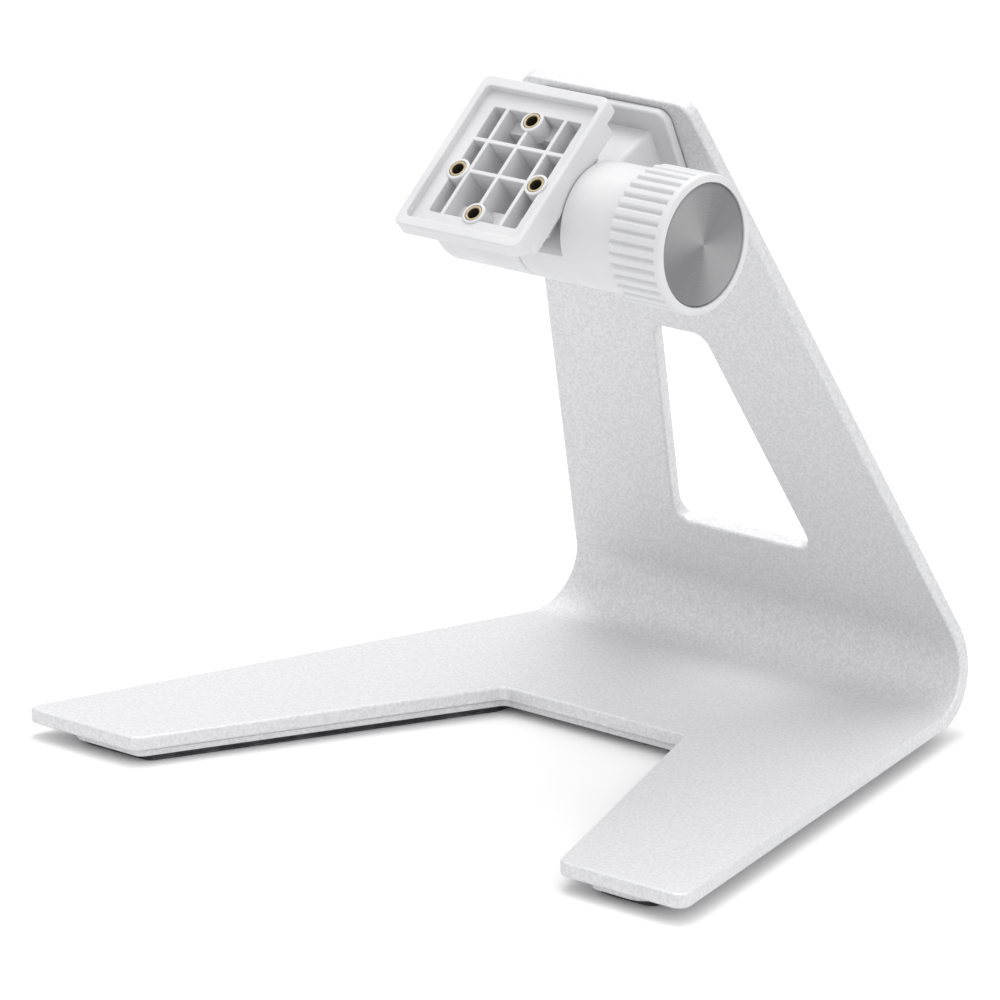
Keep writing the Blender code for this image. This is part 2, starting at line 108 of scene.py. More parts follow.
# Mounting plate, in head coordinates: x sideways, w up the slope, h from the hinge axis.
FACE_TILT = math.radians(47.96)
FACE_X = (-21.3, 20.9)
FACE_W = (-25.2, 24.2)
SUNK_X = (-18.8, 19.2)
SUNK_W = (-22.2, 21.0)
FACE_H = 21.9
FLANGE_H = 17.6
BODY_H = 13.7
DEEP_H = 9.3
DEEP_HALF = 13.2
LAND_H = 19.7
WALL = 1.2
RIB_X = (-9.8, 0.0, 9.8)
RIB_W = (-4.05, 5.75)
RIB_HALF = 0.6
CELL_X = (-14.4, 15.2)
CELL_W = (-18.2, 16.2)
BLOCK_X = (-17.3, FACE_X[1] - 0.02)
BLOCK_W = (-21.6, 19.5)
DEEP_X = (-17.0, 17.5)
BOSS_R = 3.3
BOSS_TOP = 20.1

# Thread inserts in the mounting face.
INSERT_H = (15.3, 20.15)
INSERT_R = 2.35
INSERT_WAIST_R = 2.1
INSERT_HOLE_R = 2.5
THREAD_R = 1.5
THREAD_PITCH = 0.5
THREAD_DEPTH = 0.22

# Bores along the axle.
RING_SEAT_R = 8.1
RING_SEAT_X = 3.7
BUSH_HOLE_R = 5.5
BOLT_HOLE_R = 3.3
HEAD_WELL_R = 9.0
HEAD_WELL_X = -12.6
CAP_SEAT_R = 12.4
CAP_SEAT_X = -21.8
WASHER_SEAT_R = 8.6
WASHER_SEAT_X = 36.9

# Countersunk screws and the holes that they go through.
SCREW_HEAD_R = 3.9
SCREW_R = 1.95
SCREW_END = 8.0
SOCKET_R = 1.45
SOCKET_DEPTH = 1.4
BRACKET_HOLE_R = 3.1

# Knob.
FLUTES = 36
FLUTE_DEPTH = 0.9
FLUTE_POINTS = 14
FLUTE_WIDTH = 0.6
FLUTE_FADE = 0.9
FRONT_LIP = 1.7
BACK_RECESS_R = 9.6
KNOB_BORE_R = 5.3
KNOB_BORE_DEPTH = 11.8
DISC_SEAT_DEPTH = 1.2


# Frames of the pieces: millimetres of their own axes to millimetres of the row frame.


def axes(x_axis, y_axis, z_axis, origin):
    turn = Matrix((x_axis, y_axis, z_axis)).transposed().to_4x4()
    return Matrix.Translation(origin) @ turn


def box_mm(node):
    low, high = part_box(node)
    return low / MM, high / MM


def middle(node):
    low, high = box_mm(node)
    return (low + high) / 2


JOINTS = {joint["name"]: joint for joint in frame["joints"]}
HINGE = Vector(JOINTS["head_tilt"]["pos_m"]) / MM
SIN_LEAN, COS_LEAN = math.sin(LEAN), math.cos(LEAN)
SIN_FACE, COS_FACE = math.sin(FACE_TILT), math.cos(FACE_TILT)
PLATE_FOOT = (0, BEND_R * COS_LEAN + ROW_Y, BEND_R + BEND_R * SIN_LEAN + ROW_Z)
BASE = Matrix.Translation((0, ROW_Y, ROW_Z))
PLATE = axes((1, 0, 0), (0, -SIN_LEAN, COS_LEAN), (0, -COS_LEAN, -SIN_LEAN), PLATE_FOOT)
HEAD = axes((1, 0, 0), (0, SIN_FACE, COS_FACE), (0, -COS_FACE, SIN_FACE), HINGE)
AXLE = axes((0, 1, 0), (0, 0, 1), (1, 0, 0), HINGE)


# Outlines and meshes.


def fillet(points, radii, steps=8):
    """The polygon with each corner rounded to its own radius; radius 0 keeps a corner."""
    loop = []
    count = len(points)
    for i, radius in enumerate(radii):
        corner = Vector(points[i])
        before = (Vector(points[i - 1]) - corner).normalized()
        after = (Vector(points[(i + 1) % count]) - corner).normalized()
        if radius == 0:
            loop.append(corner)
            continue
        half = before.angle(after) / 2
        centre = corner + (before + after).normalized() * radius / math.sin(half)
        start = corner + before * radius / math.tan(half) - centre
        end = corner + after * radius / math.tan(half) - centre
        turn = start.angle_signed(end)
        for k in range(steps + 1):
            spun = Matrix.Rotation(-turn * k / steps, 2) @ start
            loop.append(centre + spun)
    return loop


def rectangle(x_range, y_range, radius, steps=6):
    (x0, x1), (y0, y1) = x_range, y_range
    return fillet([(x0, y0), (x1, y0), (x1, y1), (x0, y1)], [radius] * 4, steps)


def circle(radius, count, centre=(0.0, 0.0)):
    loop = []
    for k in range(count):
        angle = 2 * math.pi * k / count
        spoke = Vector((math.cos(angle), math.sin(angle)))
        loop.append(Vector(centre) + spoke * radius)
    return loop


def inset_loop(loop, inset):
    """The counter-clockwise loop moved inwards; a negative inset moves it outwards."""
    moved = []
    count = len(loop)
    for i in range(count):
        into = (loop[i] - loop[i - 1]).normalized()
        onward = (loop[(i + 1) % count] - loop[i]).normalized()
        normal = Vector((-into.y - onward.y, into.x + onward.x)).normalized()
        scale = max(0.3, Vector((-into.y, into.x)).dot(normal))
        moved.append(loop[i] + normal * inset / scale)
    return moved


def inset_edges(points, insets):
    """The counter-clockwise polygon with the edge after each point moved inwards by its own inset."""
    lines = []
    for i, inset in enumerate(insets):
        start = Vector(points[i])
        along = (Vector(points[(i + 1) % len(points)]) - start).normalized()
        lines.append((start + Vector((-along.y, along.x)) * inset, along))
    moved = []
    for i, (start, along) in enumerate(lines):
        other, before = lines[i - 1]
        reach = (start - other).cross(along) / before.cross(along)
        moved.append(other + before * reach)
    return moved


def rounded(low, high, edge, steps=4, low_edge=None):
    """Heights and insets of a prism whose rims are rounded."""
    levels = []
    foot = edge if low_edge is None else low_edge
    for k in range(steps + 1):
        angle = math.pi / 2 * k / steps
        levels.append((low + foot * (1 - math.cos(angle)), foot * (1 - math.sin(angle))))
    for k in range(steps + 1):
        angle = math.pi / 2 * k / steps
        levels.append((high - edge * (1 - math.sin(angle)), edge * (1 - math.cos(angle))))
    return levels


def at_levels(loop, levels, sign=1):
    loops = []
    for height, inset in levels:
        moved = inset_loop(loop, inset * sign) if inset else loop
        loops.append([Vector((p.x, p.y, height)) for p in moved])
    return loops


def skin(bm, loops):
    """Side walls between successive loops that have as many points each."""
    rings = [[bm.verts.new(point) for point in loop] for loop in loops]
    for lower, upper in zip(rings, rings[1:]):
        for i in range(len(lower)):
            j = (i + 1) % len(lower)
            bm.faces.new((lower[i], lower[j], upper[j], upper[i]))
    return rings


def closed(loops):
    bm = bmesh.new()
    rings = skin(bm, loops)
    bm.faces.new(rings[0])
    bm.faces.new(rings[-1])
    return bm


def prism(loop, levels):
    return closed(at_levels(loop, levels))


def turned(points, radii, count=128, centre=(0.0, 0.0), steps=4):
    """A closed (radius, height) outline with rounded corners, turned about local z."""
    bm = bmesh.new()
    rings = []
    for radius, height in fillet(points, radii, steps):
        if radius < 1e-6:
            rings.append([bm.verts.new((*centre, height))])
            continue
        spots = circle(radius, count, centre)
        rings.append([bm.verts.new((p.x, p.y, height)) for p in spots])
    for one, two in zip(rings, rings[1:] + rings[:1]):
        for i in range(count):
            j = (i + 1) % count
            if len(one) == 1 and len(two) == 1:
                break
            if len(one) == 1:
                bm.faces.new((one[0], two[j], two[i]))
            elif len(two) == 1:
                bm.faces.new((one[i], one[j], two[0]))
            else:
                bm.faces.new((one[i], one[j], two[j], two[i]))
    return bm


def rod(radius, low, high, edge=0.0, count=128, centre=(0.0, 0.0)):
    points = [(0, low), (radius, low), (radius, high), (0, high)]
    return turned(points, [0, edge, edge, 0], count, centre)


def solid(bm, where):
    """A loose object in millimetres of the row frame, for the Booleans."""
    bmesh.ops.transform(bm, matrix=where, verts=bm.verts)
    bmesh.ops.recalc_face_normals(bm, faces=bm.faces)
    mesh = bpy.data.meshes.new("solid")
    bm.to_mesh(mesh)
    bm.free()
    obj = bpy.data.objects.new("solid", mesh)
    bpy.context.scene.collection.objects.link(obj)
    return obj


def combine(target, tools, operation):
    """Exact Booleans one after another; the tools are used up."""
    for tool in tools:
        modifier = target.modifiers.new("cut", "BOOLEAN")
        modifier.operation = operation
        modifier.solver = "EXACT"
        modifier.object = tool
        bpy.context.view_layer.update()
        graph = bpy.context.evaluated_depsgraph_get()
        mesh = bpy.data.meshes.new_from_object(target.evaluated_get(graph))
        target.modifiers.clear()
        target.data = mesh
        bpy.data.objects.remove(tool, do_unlink=True)
    return target


def piece(obj, name, mat, body, nodes):
    """The finished object in metres, on its body, standing for its CAD nodes."""
    obj.name = name
    obj.data.name = name
    obj.data.transform(Matrix.Diagonal((MM, MM, MM, 1)))
    obj.data.materials.clear()
    obj.data.materials.append(mat)
    obj.data.shade_smooth()
    obj.data.set_sharp_from_angle(angle=SHARP)
    normals = obj.modifiers.new("normals", "WEIGHTED_NORMAL")
    normals.keep_sharp = True
    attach(obj, body)
    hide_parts(*nodes)
    return obj


# Materials.


class Finish:
    """A Principled material, and short ways to add nodes to it."""

    def __init__(self, name, color, metallic, roughness, **levels):
        self.mat = bpy.data.materials.new(name)
        self.mat.use_nodes = True
        self.tree = self.mat.node_tree
        self.shader = self.tree.nodes["Principled BSDF"]
        self.shader.inputs["Base Color"].default_value = (*color, 1.0)
        self.shader.inputs["Metallic"].default_value = metallic
        self.shader.inputs["Roughness"].default_value = roughness
        for socket, value in levels.items():
            self.shader.inputs[socket.replace("_", " ").capitalize()].default_value = value
        self.place = self.node("ShaderNodeTexCoord").outputs["Object"]

    def node(self, kind, inputs=None, **settings):
        made = self.tree.nodes.new(kind)
        for key, value in settings.items():
            setattr(made, key, value)
        for key, value in (inputs or {}).items():
            if isinstance(value, bpy.types.NodeSocket):
                self.tree.links.new(value, made.inputs[key])
            else:
                made.inputs[key].default_value = value
        return made

    def noise(self, scale, detail=2.0, where=None, rough=0.5):
        inputs = {"Vector": where or self.place, "Scale": scale, "Detail": detail, "Roughness": rough}
        return self.node("ShaderNodeTexNoise", inputs).outputs[0]

    def maths(self, operation, one, two=0.0):
        return self.node("ShaderNodeMath", {0: one, 1: two}, operation=operation).outputs[0]

    def spread(self, value, low, high, to_low, to_high):
        inputs = {0: value, 1: low, 2: high, 3: to_low, 4: to_high}
        return self.node("ShaderNodeMapRange", inputs).outputs[0]

    def tint(self, factor, one, two):
        inputs = {0: factor, 6: one, 7: two}
        return self.node("ShaderNodeMix", inputs, data_type="RGBA").outputs[2]

    def stretched(self, scale):
        inputs = {"Vector": self.place, "Scale": scale}
        return self.node("ShaderNodeMapping", inputs).outputs[0]

    def from_hinge(self):
        """The place as a vector from the middle of the hinge axis."""
        inputs = {0: self.place, 1: HINGE * MM}
        return self.node("ShaderNodeVectorMath", inputs, operation="SUBTRACT").outputs[0]

    def bump(self, height, distance, strength=1.0):
        shader = self.shader.inputs["Normal"]
        inputs = {"Height": height, "Distance": distance, "Strength": strength}
        if shader.is_linked:
            inputs["Normal"] = shader.links[0].from_socket
        self.tree.links.new(self.node("ShaderNodeBump", inputs).outputs[0], shader)

    def feed(self, socket, value):
        self.tree.links.new(value, self.shader.inputs[socket])

    def colors(self, factor, dark, light):
        self.feed("Base Color", self.tint(factor, (*dark, 1.0), (*light, 1.0)))


def blasted_silver():
    """Bead-blasted, silver-anodised sheet: a visible grain over a soft sheen."""
    finish = Finish("silver_sheet", (0.75, 0.75, 0.76), 0.35, 0.5)
    grain = finish.noise(1150, 2.0, rough=0.6)
    fine = finish.noise(4200, 1.0)
    cloud = finish.noise(22, 3.0)
    speckle = finish.maths("MULTIPLY", finish.spread(grain, 0.38, 0.62, 0, 1), 0.85)
    mottle = finish.maths("ADD", speckle, finish.spread(cloud, 0.3, 0.7, 0, 0.15))
    finish.colors(mottle, (0.62, 0.62, 0.631), (0.72, 0.72, 0.73))
    finish.feed("Roughness", finish.spread(grain, 0.35, 0.65, 0.58, 0.44))
    finish.bump(grain, 0.00009, 0.6)
    finish.bump(fine, 0.00003, 0.5)
    return finish.mat


def white_plastic():
    """Moulded ABS with a fine spark-eroded texture and faint handling marks."""
    finish = Finish("white_plastic", (0.69, 0.69, 0.7), 0.0, 0.4)
    cloud = finish.noise(60, 4.0)
    texture = finish.noise(4200, 2.0)
    scuffs = finish.noise(260, 5.0, finish.stretched((1.0, 0.25, 0.25)), 0.7)
    finish.colors(finish.spread(cloud, 0.35, 0.65, 0, 1), (0.62, 0.62, 0.631), (0.67, 0.67, 0.678))
    finish.feed("Roughness", finish.spread(scuffs, 0.35, 0.7, 0.37, 0.5))
    finish.bump(texture, 0.00002, 0.5)
    finish.bump(cloud, 0.00005, 0.3)
    return finish.mat


def grey_steel():
    """Light grey coated weight plate: orange-peel surface."""
    finish = Finish("grey_steel", (0.66, 0.66, 0.67), 0.3, 0.5)
    peel = finish.noise(900, 3.0)
    finish.colors(finish.spread(peel, 0.3, 0.7, 0, 1), (0.6, 0.6, 0.61), (0.72, 0.72, 0.73))
    finish.feed("Roughness", finish.spread(peel, 0.3, 0.7, 0.6, 0.42))
    finish.bump(peel, 0.00008, 0.6)
    return finish.mat


def dark_rubber():
    """Moulded foot rubber: matt, with a cast grain and a trace of dust."""
    finish = Finish("dark_rubber", (0.05, 0.05, 0.055), 0.0, 0.82)
    grain = finish.noise(1800, 4.0)
    dust = finish.noise(120, 5.0, rough=0.7)
    finish.colors(finish.spread(dust, 0.45, 0.75, 0, 1), (0.035, 0.035, 0.04), (0.11, 0.11, 0.112))
    finish.feed("Roughness", finish.spread(grain, 0.3, 0.7, 0.74, 0.9))
    finish.bump(grain, 0.0001, 0.6)
    return finish.mat


def plated_steel():
    """Zinc plating with faint turning lines and cloudy passivation."""
    finish = Finish("zinc_steel", (0.6, 0.6, 0.62), 1.0, 0.32)
    cloud = finish.noise(420, 4.0)
    lines = finish.noise(900, 2.0, finish.stretched((6.0, 1.0, 1.0)))
    finish.colors(finish.spread(cloud, 0.3, 0.7, 0, 1), (0.50, 0.51, 0.53), (0.66, 0.66, 0.67))
    finish.feed("Roughness", finish.spread(lines, 0.3, 0.7, 0.24, 0.42))
    finish.bump(lines, 0.00002, 0.6)
    return finish.mat


def brass():
    """Machined brass, a little browner where it tarnishes."""
    finish = Finish("brass", (0.78, 0.58, 0.25), 1.0, 0.28)
    tarnish = finish.noise(700, 5.0, rough=0.7)
    lines = finish.noise(5000, 1.0)
    finish.colors(finish.spread(tarnish, 0.35, 0.7, 0, 1), (0.83, 0.64, 0.32), (0.52, 0.34, 0.14))
    finish.feed("Roughness", finish.spread(tarnish, 0.3, 0.7, 0.22, 0.4))
    finish.bump(lines, 0.00001, 0.5)
    return finish.mat


def bored_brass():
    """Face inserts: pale brass on top, with painted shade, nearly black, down the threaded bore."""
    finish = Finish("bored_brass", (0.6, 0.5, 0.3), 0.9, 0.4)
    tarnish = finish.noise(700, 5.0, rough=0.7)
    outward = HEAD.to_3x3() @ Vector((0, 0, 1))
    inputs = {0: finish.from_hinge(), 1: outward}
    height = finish.node("ShaderNodeVectorMath", inputs, operation="DOT_PRODUCT").outputs["Value"]
    top = INSERT_H[1] * MM
    # Painted shade: below the insert's top the colour goes nearly black, standing in for the shade down
    # the bore.
    painted_bore_shade = finish.spread(height, top - 0.3 * MM, top - 0.04 * MM, 0, 1)
    worn = finish.spread(tarnish, 0.35, 0.7, 0, 1)
    pale = finish.tint(worn, (0.72, 0.62, 0.42, 1.0), (0.5, 0.38, 0.2, 1.0))
    finish.feed("Base Color", finish.tint(painted_bore_shade, (0.02, 0.016, 0.01, 1.0), pale))
    finish.feed("Roughness", finish.spread(tarnish, 0.3, 0.7, 0.32, 0.5))
    return finish.mat


def friction_fibre():
    """Pressed friction lining with short light fibres."""
    finish = Finish("friction_fibre", (0.12, 0.11, 0.1), 0.0, 0.85)
    fibres = finish.noise(2200, 3.0, finish.stretched((1.0, 4.0, 1.0)))
    finish.colors(finish.spread(fibres, 0.5, 0.7, 0, 1), (0.09, 0.08, 0.075), (0.26, 0.23, 0.2))
    finish.bump(fibres, 0.00006, 0.8)
    return finish.mat


def natural_nylon():
    """Unpigmented nylon: milky, with a soft moulded sheen."""
    finish = Finish("natural_nylon", (0.75, 0.73, 0.68), 0.0, 0.45)
    cloud = finish.noise(350, 3.0)
    finish.colors(finish.spread(cloud, 0.3, 0.7, 0, 1), (0.70, 0.68, 0.62), (0.80, 0.78, 0.74))
    finish.feed("Roughness", finish.spread(cloud, 0.3, 0.7, 0.38, 0.55))
    finish.bump(cloud, 0.00003, 0.4)
    return finish.mat


def spun_metal():
    """Spun disc: lathe rings and anisotropy for the sheen, plus broad wedges of painted sheen through
    the centre in the colour.
    """
    finish = Finish("spun_metal", (0.3, 0.3, 0.31), 0.8, 0.36, anisotropic=0.6)
    split = finish.node("ShaderNodeSeparateXYZ", {0: finish.from_hinge()})
    across, up = split.outputs[1], split.outputs[2]
    across_squared = finish.maths("MULTIPLY", across, across)
    up_squared = finish.maths("MULTIPLY", up, up)
    radius = finish.maths("SQRT", finish.maths("ADD", across_squared, up_squared))
    spoke_y = finish.maths("DIVIDE", across, radius)
    spoke_z = finish.maths("DIVIDE", up, radius)
    spoke = finish.node("ShaderNodeCombineXYZ", {0: spoke_y, 1: spoke_z})
    # Painted sheen: a lighter band from upper left to lower right through the centre, and slow lighter
    # and darker wedges round it, in the base colour.
    along = finish.maths("MULTIPLY", finish.maths("SUBTRACT", spoke_y, spoke_z), math.sqrt(0.5))
    painted_sheen_band = finish.maths("POWER", finish.maths("ABSOLUTE", along), 2.5)
    inputs = {"W": radius, "Scale": 5000.0, "Detail": 2.0}
    rings = finish.node("ShaderNodeTexNoise", inputs, noise_dimensions="1D").outputs[0]
    painted_sheen_wedges = finish.spread(finish.noise(1.3, 2.0, spoke.outputs[0]), 0.3, 0.7, -0.15, 0.15)
    finish.colors(finish.maths("ADD", painted_sheen_band, painted_sheen_wedges), (0.2, 0.2, 0.205), (0.32, 0.32, 0.325))
    finish.feed("Roughness", finish.spread(rings, 0.3, 0.7, 0.32, 0.42))
    finish.bump(rings, 0.000006, 0.5)
    tangent = finish.node("ShaderNodeTangent", direction_type="RADIAL", axis="X")
    finish.feed("Tangent", tangent.outputs[0])
    return finish.mat


# Pieces.


def bend_point(x, s, h):
    """A point of the flat blank, s along its length and h above its middle, after bending."""
    radius = BEND_R + SHEET / 2 - h
    if s <= 0:
        return Vector((x, s, h - SHEET / 2))
    beyond = max(0.0, s - BEND_LENGTH)
    phi = (s - beyond) / (BEND_R + SHEET / 2)
    y = radius * math.sin(phi) + beyond * math.cos(phi)
    z = BEND_R - radius * math.cos(phi) + beyond * math.sin(phi)
    return Vector((x, y, z))


def blank_outline():
    half = [
        (LEG_INNER_END, -LEG_LENGTH, 4.5),
        (LEG_OUTER_END, -LEG_LENGTH, TOE_R),
        (BASE_HALF, 0.0, 0.0),
        (PLATE_HALF, BEND_LENGTH, 0.0),
        (TOP_HALF, BEND_LENGTH + PLATE_LENGTH, 5.0),
    ]
    notch = [(-NOTCH_HALF, -NOTCH_DEPTH, 3.0), (NOTCH_HALF, -NOTCH_DEPTH, 3.0)]
    other = [(-x, s, r) for x, s, r in reversed(half)]
    points = half + other + notch
    return fillet([(x, s) for x, s, _ in points], [r for _, _, r in points])


def window_loop():
    low_half = WINDOW_TOP_HALF + PLATE_TAPER * (WINDOW_HIGH - WINDOW_LOW)
    low = BEND_LENGTH + WINDOW_LOW
    high = BEND_LENGTH + WINDOW_HIGH
    corners = [(-low_half, low), (low_half, low), (WINDOW_TOP_HALF, high), (-WINDOW_TOP_HALF, high)]
    return fillet(corners, [WINDOW_RADIUS] * 4)


def screw_spots():
    """Each screw's x and s, read from its CAD node."""
    spots = []
    for number in range(1, 5):
        local = PLATE.inverted() @ middle(f"bracket_screw_{number}")
        spots.append((local.x, local.y))
    return spots


def sink_loops(x, s):
    """A countersunk hole through the blank, wide on its rear side."""
    half = SHEET / 2
    profile = [(-half, 4.5), (0.15 - half, 4.3), (0.0, 2.3), (half - 0.2, 2.3), (half, 2.5)]
    loops = []
    for height, radius in profile:
        ring = circle(radius, 40, (x, BEND_LENGTH + s))
        loops.append([Vector((p.x, p.y, height)) for p in ring])
    return loops


def stand_sheet(mat):
    """The blank with its rounded edges, window and holes, then bent round the rear."""
    bm = bmesh.new()
    levels = rounded(-SHEET / 2, SHEET / 2, SHEET_EDGE)
    walls = [at_levels(blank_outline(), levels), at_levels(window_loop(), levels, -1)]
    walls += [sink_loops(x, s) for x, s in screw_spots()]
    caps = [[], []]
    for loops in walls:
        rings = skin(bm, loops)
        for cap, ring in zip(caps, (rings[0], rings[-1])):
            for i, vert in enumerate(ring):
                cap.append(bm.edges.get((vert, ring[(i + 1) % len(ring)])))
    for cap in caps:
        bmesh.ops.triangle_fill(bm, edges=cap, use_beauty=True)
    for step in range(BEND_STEPS + 1):
        line = Vector((0, BEND_LENGTH * step / BEND_STEPS, 0))
        geometry = bm.verts[:] + bm.edges[:] + bm.faces[:]
        bmesh.ops.bisect_plane(bm, geom=geometry, dist=1e-5, plane_co=line, plane_no=(0, 1, 0))
    for vert in bm.verts:
        vert.co = bend_point(*vert.co)
    piece(solid(bm, BASE), "stand_sheet", mat, "stand", ["stand_plate"])


def weight_layer(mat):
    half = [(LEG_INNER_END, -LEG_LENGTH), (LEG_OUTER_END, -LEG_LENGTH), (BASE_HALF, 0.0)]
    other = [(-x, y) for x, y in reversed(half)]
    points = half + other + [(-NOTCH_HALF, -NOTCH_DEPTH), (NOTCH_HALF, -NOTCH_DEPTH)]
    inner, outer, front = LAYER_INNER, LAYER_OUTER, LAYER_FRONT
    insets = [front, outer, inner, outer, front, inner, inner, LAYER_RIGHT_INNER]
    moved = inset_edges(points, insets)
    loop = fillet(moved, [3.0, 6.0, 2.0, 2.0, 6.0, 3.0, 3.0, 3.0])
    layer = prism(loop, rounded(LAYER_LOW, -SHEET - GAP, 0.25, 3))
    piece(solid(layer, BASE), "weight_layer", mat, "stand", ["weight_plate"])


def foot(side, name, node, mat):
    """One leg's rubber strip, with a shallow moulded groove round its edge."""
    points = [
        (LEG_INNER_END, -LEG_LENGTH),
        (LEG_OUTER_END, -LEG_LENGTH),
        (BASE_HALF, 0.0),
        (NOTCH_HALF, 0.0),
        (NOTCH_HALF, -NOTCH_DEPTH),
    ]
    front, outer, inner = STRIP_FRONT, STRIP_OUTER, STRIP_INNER[side]
    points = inset_edges(points, [front, outer, front, inner, inner])
    if side < 0:
        points = [(-x, y) for x, y in reversed(points)]
    loop = fillet(points, [3.0] * len(points), 6)
    levels = rounded(-ROW_Z, LAYER_LOW - GAP, 0.3, 3)
    groove = [(-ROW_Z + 0.7, 0.0), (-ROW_Z + 0.85, 0.25), (-ROW_Z + 1.05, 0.25), (-ROW_Z + 1.2, 0.0)]
    levels[4:4] = groove
    strip = prism(loop, levels)
    piece(solid(strip, BASE), name, mat, "stand", [node])


def neck_loop():
    """The housing's section under the mounting plate, cut back to let the plate tilt."""
    rest = math.pi - FACE_TILT
    loop = []
    count = 120
    for k in range(count):
        angle = 2 * math.pi * k / count
        away = (angle - rest + math.pi) % (2 * math.pi) - math.pi
        limit = math.radians(TILT_DOWN if away > 0 else TILT_BACK)
        spread = max(0.0, abs(away) - limit)
        reach = min(BARREL_R, NECK_R / math.cos(spread)) if spread < 1.2 else BARREL_R
        loop.append(Vector((reach * math.cos(angle), reach * math.sin(angle))))
    return loop


def bracket_shell(mat):
    """Flange, arm and fixed barrel half, moulded as one."""
    flange = rectangle((-FLANGE_HALF, FLANGE_HALF), FLANGE_S, 3.5)
    body = solid(prism(flange, rounded(GAP, FLANGE_FRONT, 0.9, low_edge=0.2)), PLATE)
    section = rectangle((-ARM_HALF, ARM_HALF), ARM_S, 1.2)
    arm = solid(prism(section, [(1.5, 0), (31.0, 0)]), PLATE)
    relief = solid(rod(RELIEF_R, -30.0, HOUSING_X[0] - 0.3), AXLE)
    combine(arm, [relief], "DIFFERENCE")
    neck = solid(prism(neck_loop(), [(HOUSING_X[0], 0), (FULL_X + 1.0, 0)]), AXLE)
    full = solid(rod(BARREL_R, FULL_X, HOUSING_X[1], 0.5), AXLE)
    combine(body, [arm, neck, full], "UNION")
    seat_end = HOUSING_X[0] + 1.7
    past_end = HOUSING_X[1] + 1.8
    bore = [
        (0, 0.0),
        (RING_SEAT_R, 0.0),
        (RING_SEAT_R, seat_end),
        (BOLT_HOLE_R, seat_end),
        (BOLT_HOLE_R, WASHER_SEAT_X),
        (WASHER_SEAT_R, WASHER_SEAT_X),
        (WASHER_SEAT_R, past_end),
        (0, past_end),
    ]
    tools = [solid(turned(bore, [0] * len(bore), 64), AXLE)]
    for spot in screw_spots():
        hole = rod(BRACKET_HOLE_R, -1.0, SCREW_END + 0.8, 0.0, 32, spot)
        tools.append(solid(hole, PLATE))
    combine(body, tools, "DIFFERENCE")
    piece(body, "bracket_shell", mat, "stand", ["hinge_bracket"])


def mount_core():
    """The plate's outside: block, flange, raised rim and sunken land, as one skin."""
    outline = rectangle(BLOCK_X, BLOCK_W, 1.5)
    loops = at_levels(outline, rounded(BODY_H, FLANGE_H, 0.0, low_edge=0.6)[:6])
    outline = rectangle(FACE_X, FACE_W, 2.5)
    loops += at_levels(outline, [(FLANGE_H, 0.0)] + rounded(FLANGE_H, FACE_H, 0.55)[5:])
    outline = rectangle(SUNK_X, SUNK_W, 1.5)
    brim = rounded(LAND_H, FACE_H, 0.4)[5:]
    loops += reversed(at_levels(outline, brim, -1))
    loops += at_levels(outline, [(LAND_H, 0.0)])
    return closed(loops)


def pocket_cutter(x_range, w_range, low, flare):
    """A pocket whose mouth opens in a small round."""
    loop = rectangle(x_range, w_range, 0.6, 4)
    levels = [(low, 0.0)]
    for k in range(5):
        angle = math.pi / 2 * k / 4
        levels.append((LAND_H - flare * (1 - math.sin(angle)), -flare * (1 - math.cos(angle))))
    levels.append((FACE_H + 1.0, -flare))
    return prism(loop, levels)


def rib(along_x, at, reach, low, high):
    """A drafted wall with a rounded crest."""
    crest = 0.25
    levels = [(low, RIB_HALF + 0.12), (high - crest, RIB_HALF)]
    for k in range(1, 4):
        angle = math.pi / 2 * k / 3
        levels.append((high - crest + crest * math.sin(angle), RIB_HALF - crest * (1 - math.cos(angle))))
    loops = []
    for height, half in levels:
        band = (at - half, at + half)
        ranges = (reach, band) if along_x else (band, reach)
        loop = rectangle(*ranges, 0.05, 1)
        loops.append([Vector((p.x, p.y, height)) for p in loop])
    return closed(loops)


def insert_spots():
    """Each brass insert's x and w, read from its CAD node."""
    spots = {}
    for name in ("insert_upper", "insert_left", "insert_right", "insert_lower"):
        local = HEAD.inverted() @ middle(name)
        spots[name] = (local.x, local.y)
    return spots


